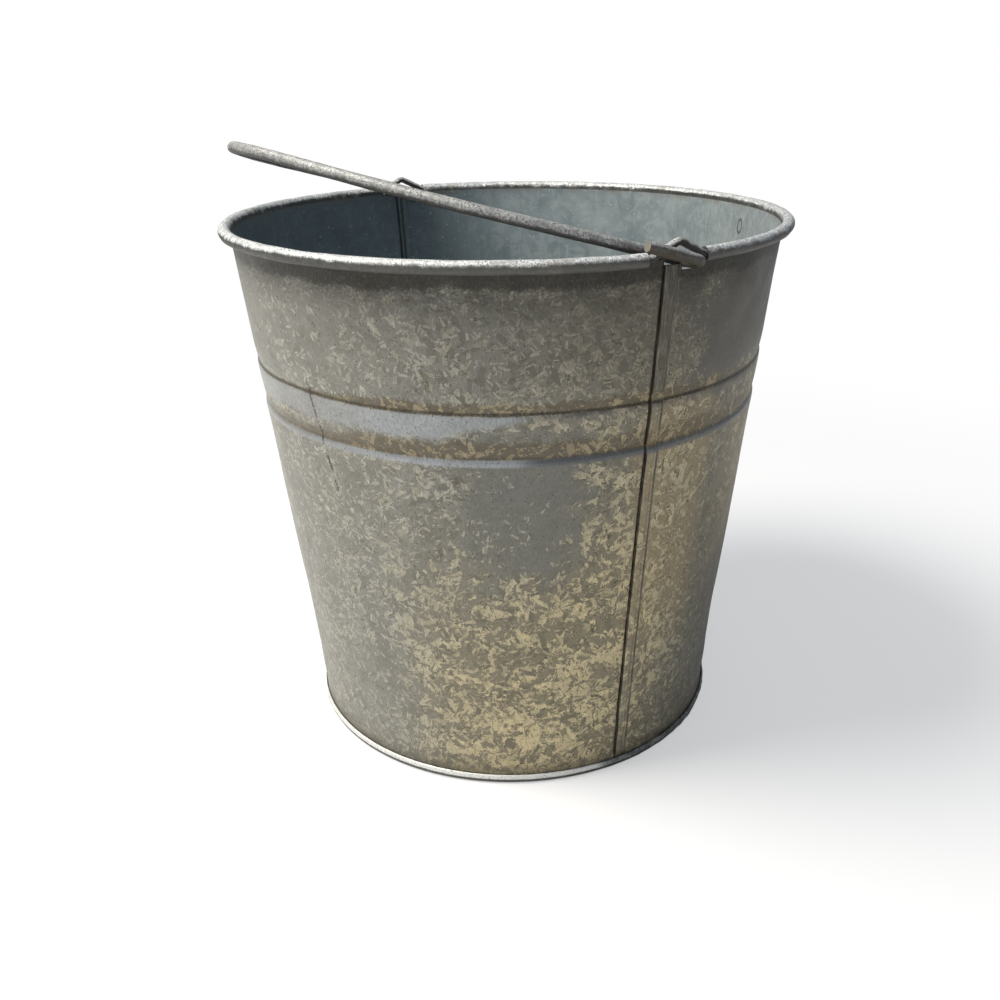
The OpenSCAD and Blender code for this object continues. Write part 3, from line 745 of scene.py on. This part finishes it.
def wall_column(wall, column, side, zs, curl, gap_y, turn):
    """Points of one column of one side of the half wall: the wall's rows, then the curl's.

    column is a share of the arc or one of end_columns. Side 0 is outside."""
    sheet = SHEET / 2 if side == 0 else -SHEET / 2
    z = zs
    if isinstance(column, tuple):
        x_sign, *both = column
        y, level = both[side], both[side + 2]
        if -y < gap_y - 0.01:
            # rows are pulled down to the cut edge in the gap at the ear
            top = float(wall.cut(-y if turn else y))
            z = np.where(z > FOOT_OF_CUT, FOOT_OF_CUT + (z - FOOT_OF_CUT) * (top - FOOT_OF_CUT)
                         / (wall.rim_z - FOOT_OF_CUT), z)
        # the folds are pressed flat where the base is folded round them
        level = sheet + (level - sheet) * (0.12 + 0.88 * smoothstep(zs, 5.5, 9.0))
        lean = math.atan2(y, SEAM_X)
        r = wall.radius((lean if x_sign > 0 else math.pi - lean) + turn, z) - SHEET / 2 + level
        points = np.stack([x_sign * np.sqrt(r * r - y * y), np.full_like(z, y), z], -1)
    else:
        a = np.arcsin(gap_y / (wall.foot_r + np.maximum(0, z - wall.taper_z) * wall.taper))
        angle = -math.pi + a + column * (math.pi - 2 * a)
        r = wall.radius(angle + turn, z) - SHEET / 2 + sheet
        points = np.stack([r * np.cos(angle), r * np.sin(angle), z], -1)
    angle = math.atan2(points[-1, 1], points[-1, 0])
    tuck = np.radians(curl)
    rho = CURL_MID - sheet + 0.10 * wall.hammer.at(angle + turn, curl * 0.3) - 0.08
    r = wall.rim_r + 0.175 * wall.sway.at(angle + turn, 900) - 0.1 + rho * np.cos(tuck)
    rolled = np.stack([r * math.cos(angle), r * math.sin(angle), wall.rim_z + rho * np.sin(tuck)], -1)
    points = np.concatenate([points, rolled])
    if turn:
        points[:, :2] *= -1
    return points


# ---------- wires and base ----------

def rounded(points, reaches, steps):
    """A polyline with each corner replaced by a smooth bend that starts a reach away from it."""
    points = [np.array(p, float) for p in points]
    out = [points[0]]
    for a, b, c, reach in zip(points, points[1:], points[2:], reaches):
        da, dc = a - b, c - b
        la, lc = np.linalg.norm(da), np.linalg.norm(dc)
        cut = min(reach, la * 0.45, lc * 0.45)
        p, q = b + da / la * cut, b + dc / lc * cut
        for t in np.linspace(0, 1, steps):
            out.append((1 - t) ** 2 * p + 2 * t * (1 - t) * b + t * t * q)
    out.append(points[-1])
    return np.array(out)


def resample(points, gap):
    points = np.asarray(points, float)
    along = np.concatenate([[0], np.cumsum(np.linalg.norm(np.diff(points, axis=0), axis=1))])
    count = max(2, int(round(along[-1] / gap)) + 1)
    want = np.linspace(0, along[-1], count)
    return np.stack([np.interp(want, along, points[:, k]) for k in range(3)], 1)


def rim_wire(wall, material):
    """The wire in the rim, one closed loop with an ear bent up at each seam."""
    R, z = wall.rim_r, wall.rim_z

    def ear(sign):
        ys = [(EAR_BACK_Y - EAR_FOOT, 0), (EAR_BACK_Y, 0), (EAR_Y, EAR_RISE), (EAR_FRONT_Y, 0),
              (EAR_FRONT_Y + EAR_FOOT, 0)]
        corners = [(sign * math.sqrt(R * R - y * y), y, z + up) for y, up in ys]
        return rounded(corners, [3.0, 1.6, 3.0], 8)

    def arc(a0, a1):
        a = np.radians(np.linspace(a0, a1, 150))
        return np.stack([R * np.cos(a), R * np.sin(a), np.full_like(a, z)], 1)

    front = math.degrees(math.asin((EAR_FRONT_Y + EAR_FOOT) / R))
    back = math.degrees(math.asin((EAR_FOOT - EAR_BACK_Y) / R))
    loop = np.concatenate([ear(1), arc(front + 1, 179 - front), ear(-1)[::-1],
                           arc(181 + back, 359 - back)])
    loop = resample(np.concatenate([loop, loop[:1]]), 1.6)[:-1]
    sides = 14
    wave = 0.05 * Ripple(7, 60, 90).at(np.arctan2(loop[:, 1], loop[:, 0]), 0)
    verts, faces, rings = tube(loop, WIRE_R - 0.03 + wave, sides)
    # join the last ring to the first one: the frame may have turned, so the nearest match is used
    start = (rings - 1) * sides
    first, last = verts[:sides], verts[start:rings * sides]
    best = min(range(sides), key=lambda k: np.linalg.norm(np.roll(first, -k, 0) - last, axis=1).sum())
    for j in range(sides):
        faces.append([start + j, start + (j + 1) % sides, (j + 1 + best) % sides, (j + best) % sides])
    make_object("rim_wire", verts[:rings * sides], faces, [0] * len(faces), [material],
                "bucket", "zinc_wire", 60)


def bail_path(pivot, rim_r):
    """Middle line of the handle's one wire: a bow with straight legs, and a hook at each end."""
    twist, close = math.radians(HOOK_TWIST), math.radians(HOOK_CLOSE)
    leg_x = math.sqrt(rim_r ** 2 - pivot[1] ** 2) - HOOK_R * math.cos(twist)
    drop = HOOK_R * math.sin(twist)
    # the hook in its own plane: centre of the bend at (HOOK_R, -HOOK_R)
    bend = np.linspace(math.pi, -close, 26)
    arc = np.stack([HOOK_R + HOOK_R * np.cos(bend), -HOOK_R + HOOK_R * np.sin(bend), 0 * bend], 1)
    out_dir = np.array([-math.sin(close), -math.cos(close), 0])
    leg = arc[-1] + out_dir * np.linspace(0.8, HOOK_LEG, 22)[:, None]
    tilt = np.array([[math.cos(twist), 0, -math.sin(twist)], [0, 1, 0],
                     [math.sin(twist), 0, math.cos(twist)]])
    hook = np.concatenate([arc, leg]) @ tilt.T + [leg_x, 0, -drop]
    bow_a = np.linspace(0, -math.pi, 150)
    sag = BOW_SAG * np.sin(2 * np.minimum(-bow_a, math.pi + bow_a)) ** 2
    bow = np.stack([leg_x * np.cos(bow_a), -BOW_LEG + leg_x * np.sin(bow_a), -drop - sag], 1)
    path = resample(np.concatenate([hook[::-1], bow, hook * [-1, 1, 1]]), 1.5)
    rest = math.radians(-BAIL_REST)
    lean = np.array([[1, 0, 0], [0, math.cos(rest), -math.sin(rest)],
                     [0, math.sin(rest), math.cos(rest)]])
    return path @ lean.T + [0, pivot[1], pivot[2]]


def bail(pivot, rim_r, materials):
    """The handle: its wire with an uneven, hammered skin and cut ends."""
    path = bail_path(pivot, rim_r)
    steps = np.arange(len(path))
    rng = np.random.default_rng(SEED + 11)
    radii = BAIL_R - 0.05 + 0.05 * np.sin(steps * 0.31 + 1) * np.sin(steps * 0.043)
    radii = radii - 0.35 * np.exp(-np.minimum(steps, len(path) - 1 - steps) / 0.8)
    sides = 22
    verts, faces, rings = tube(path, radii, sides)
    verts[:rings * sides] += rng.normal(0, 0.015, (rings * sides, 3))
    slots = [0] * len(faces)
    first_hub, last_hub = rings * sides, rings * sides + 1
    for ring, hub in ((0, first_hub), (rings - 1, last_hub)):
        for j in range(sides):
            a, b = ring * sides + j, ring * sides + (j + 1) % sides
            faces.append([a, b, hub] if hub == last_hub else [b, a, hub])
            slots.append(1)
    make_object("bail", verts, faces, slots, materials, "bail", "bail_wire", 45)


def base(wall, materials):
    """The bottom disc with its edge turned down and folded up outside the wall."""
    t = SHEET
    flange = wall.foot_r - t - 0.03
    under = BASE_Z - t
    top_r = [0.0, 20, 40, 60, 75, 88, 98, 105, 109.5, flange - 0.7]
    profile = [(r, BASE_Z) for r in top_r]
    profile += [(flange - 0.2, BASE_Z - 0.2), (flange, BASE_Z - 0.7), (flange, 3.4), (flange, t),
                (flange + 0.9, t), (flange + 0.93, 1.6), (flange + 0.93, 3.2), (flange + 0.93, 4.3),
                (flange + 1.2, 4.75), (flange + 1.55, 4.6), (flange + 1.85, 4.1), (flange + 2.02, 3.4),
                (flange + 2.05, 2.6), (flange + 1.95, 1.8), (flange + 1.7, 1.0), (flange + 1.3, 0.35),
                (flange + 0.7, 0.02), (flange + 0.1, 0.0), (flange - t + 0.2, 0.05),
                (flange - t, 0.5), (flange - t, 3.0), (flange - t, under - 0.5), (flange - t - 0.5, under)]
    profile += [(r, under) for r in (109, 104, 97, 86, 72, 56, 38, 20, 0.0)]
    profile = np.array(profile)
    count = 420
    angle = np.linspace(0, 2 * math.pi, count, endpoint=False)
    dip, lumps, slow = Ripple(21, 5, 90), Ripple(22, 90, 3.0, 40), Ripple(23, 24, 12, 20)
    rr = np.repeat(profile[:, :1], count, 1)
    zz = np.repeat(profile[:, 1:], count, 1)
    aa = np.repeat(angle[None, :], len(profile), 0)
    disc = (rr < flange - 3) * smoothstep(rr, flange - 3, flange - 25) * (1 - smoothstep(rr, 12, 0))
    zz = zz + disc * (0.35 * dip.at(aa, rr) - 0.2)
    # the folded edge is even in front and rough beside the seam and behind
    chime = smoothstep(rr, flange + 1.0, flange + 1.6)
    spot = np.exp(-((((aa + math.pi) % (2 * math.pi) - math.pi) - 0.16) / 0.26) ** 2)
    rough = 0.10 + 0.9 * np.clip(spot + 0.25 * smoothstep(np.sin(aa), -0.02, 0.3), 0, 1)
    bump = (lumps.at(aa, zz * 2) * 0.45 + slow.at(aa, zz) * 0.35 + 0.22) * rough
    rr = rr + chime * np.clip(bump, -0.25, 0.9)
    zz = zz + chime * smoothstep(zz, 2.5, 4.2) * np.clip(bump, -0.3, 0.9) * 1.2
    zz = np.maximum(zz, 0.0)
    verts = np.stack([rr * np.cos(aa), rr * np.sin(aa), zz], -1).reshape(-1, 3)
    i, j = np.meshgrid(np.arange(len(profile) - 1), np.arange(count), indexing="ij")
    i, j = i.ravel(), j.ravel()
    k = (j + 1) % count
    quads = np.stack([i * count + j, (i + 1) * count + j, (i + 1) * count + k, i * count + k], 1)
    slots = np.where(i < len(top_r), 1, 0)
    make_object("base", verts, quads.tolist(), slots, materials, "bucket", "zinc_base", 60, weld=True)


# ---------- stage ----------

def link(name, data):
    obj = bpy.data.objects.new(name, data)
    bpy.context.scene.collection.objects.link(obj)
    return obj


def camera():
    eye = Vector((462.73, -252.29, 338.69)) * MM
    look = Vector((-0.80141, 0.44483, -0.39983)).normalized()
    right = look.cross(Vector((0, 0, 1))).normalized()
    up = right.cross(look)
    roll = math.radians(-0.752)
    right, up = right * math.cos(roll) + up * math.sin(roll), up * math.cos(roll) - right * math.sin(roll)
    data = bpy.data.cameras.new("camera")
    data.lens, data.sensor_width, data.shift_x = 36.0, 36.0, -0.0183
    data.clip_start = 0.01
    cam = link("camera", data)
    cam.matrix_world = Matrix((
        (right.x, up.x, -look.x, eye.x), (right.y, up.y, -look.y, eye.y),
        (right.z, up.z, -look.z, eye.z), (0, 0, 0, 1)))
    bpy.context.scene.camera = cam


def area_light(name, azimuth, elevation, distance, size, power, colour):
    a, e = math.radians(azimuth), math.radians(elevation)
    back = Vector((math.cos(a) * math.cos(e), math.sin(a) * math.cos(e), math.sin(e)))
    data = bpy.data.lights.new(name, "AREA")
    data.shape, data.size, data.energy, data.color = "DISK", size, power, colour
    lamp = link(name, data)
    lamp.location = Vector((0, 0, 0.15)) + back * distance
    lamp.rotation_mode = "QUATERNION"
    lamp.rotation_quaternion = back.to_track_quat("Z", "Y")


def background(tree, colour, strength):
    node = tree.nodes.new("ShaderNodeBackground")
    node.inputs["Color"].default_value = (*colour, 1)
    node.inputs["Strength"].default_value = strength
    return node.outputs[0]


def studio():
    scene = bpy.context.scene
    scene.view_settings.view_transform = "Standard"
    area_light("key", -108, 55, 1.6, 0.75, 38, (1.0, 0.965, 0.90))
    area_light("fill", -30, 25, 2.2, 1.6, 4, (0.93, 0.96, 1.0))
    area_light("back", 100, 65, 1.8, 1.4, 5, (0.88, 0.94, 1.0))
    world = bpy.data.worlds.new("studio")
    scene.world = world
    world.use_nodes = True
    tree = world.node_tree
    tree.nodes.clear()
    path = tree.nodes.new("ShaderNodeLightPath")
    mix = tree.nodes.new("ShaderNodeMixShader")
    out = tree.nodes.new("ShaderNodeOutputWorld")
    tree.links.new(path.outputs["Is Camera Ray"], mix.inputs[0])
    tree.links.new(background(tree, (0.80, 0.88, 1.0), 0.26), mix.inputs[1])
    tree.links.new(background(tree, (1.0, 1.0, 1.0), 1.0), mix.inputs[2])
    tree.links.new(mix.outputs[0], out.inputs["Surface"])
    size = 6.0
    mesh = bpy.data.meshes.new("floor")
    mesh.from_pydata([(-size, -size, 0), (size, -size, 0), (size, size, 0), (-size, size, 0)], [],
                     [(0, 1, 2, 3)])
    mesh.materials.append(pale_floor())
    floor = link("floor", mesh)
    floor.location.z = -0.0002


def pale_floor():
    """A matt pale floor that keeps the shadow near the object and fades to white far away."""
    s = Shader("floor_pale")
    far = s.math("SQRT", s.plus(s.times(s.x, s.x), s.times(s.y, s.y)))
    white_share = s.times(s.plus(0.45, s.times(s.step(far, 220, 750), 0.55)),
                          s.add("ShaderNodeLightPath").outputs["Is Camera Ray"])
    matt = s.add("ShaderNodeBsdfPrincipled", Roughness=0.9)
    s.feed(matt.inputs["Base Color"], (0.86, 0.86, 0.86, 1))
    mix = s.add("ShaderNodeMixShader", Fac=white_share)
    s.feed(mix.inputs[1], matt.outputs[0])
    s.feed(mix.inputs[2], s.add("ShaderNodeEmission").outputs[0])
    s.add("ShaderNodeOutputMaterial", Surface=mix.outputs[0])
    return s.material


# ---------- the whole scene ----------

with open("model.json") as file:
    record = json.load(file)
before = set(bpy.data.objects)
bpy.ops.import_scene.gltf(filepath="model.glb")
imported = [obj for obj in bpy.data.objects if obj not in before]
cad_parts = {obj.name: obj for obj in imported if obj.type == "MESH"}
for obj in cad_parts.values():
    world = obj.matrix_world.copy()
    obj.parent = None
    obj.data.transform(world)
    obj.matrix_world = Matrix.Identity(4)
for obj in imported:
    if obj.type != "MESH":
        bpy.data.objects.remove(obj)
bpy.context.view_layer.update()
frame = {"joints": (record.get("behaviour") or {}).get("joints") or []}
pivot = [v / MM for v in frame["joints"][0]["pos_m"]]
rim_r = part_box("rim_wire")[1].x / MM - WIRE_R
rim_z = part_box("rim_wire")[0].z / MM + WIRE_R
foot_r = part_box("base")[1].x / MM - CHIME_OUT
wall = Wall(round(foot_r, 1), round(rim_r, 1), round(rim_z, 0))
camera()
studio()
outer, inner, bead = OuterZinc().build(), inner_zinc(), bead_zinc()
half_wall(wall, "shell_front", 0.0, -GAP_BACK_Y, [outer, inner, bead], "zinc_wall")
half_wall(wall, "shell_back", math.pi, GAP_FRONT_Y, [outer, inner, bead], "zinc_wall_back")
ear_zinc = wire_zinc("ear_zinc", (0.30, 0.295, 0.275), (0.62, 0.615, 0.59), 3, (0.42, 0.10, 0.95))
bail_zinc = wire_zinc("bail_zinc", (0.24, 0.24, 0.23), (0.47, 0.47, 0.455), 4, (0.10, -0.45, 0.90), 134)
rim_wire(wall, ear_zinc)
bail(pivot, rim_r, [bail_zinc, cut_wire()])
base(wall, [foot_zinc(), bottom_zinc()])
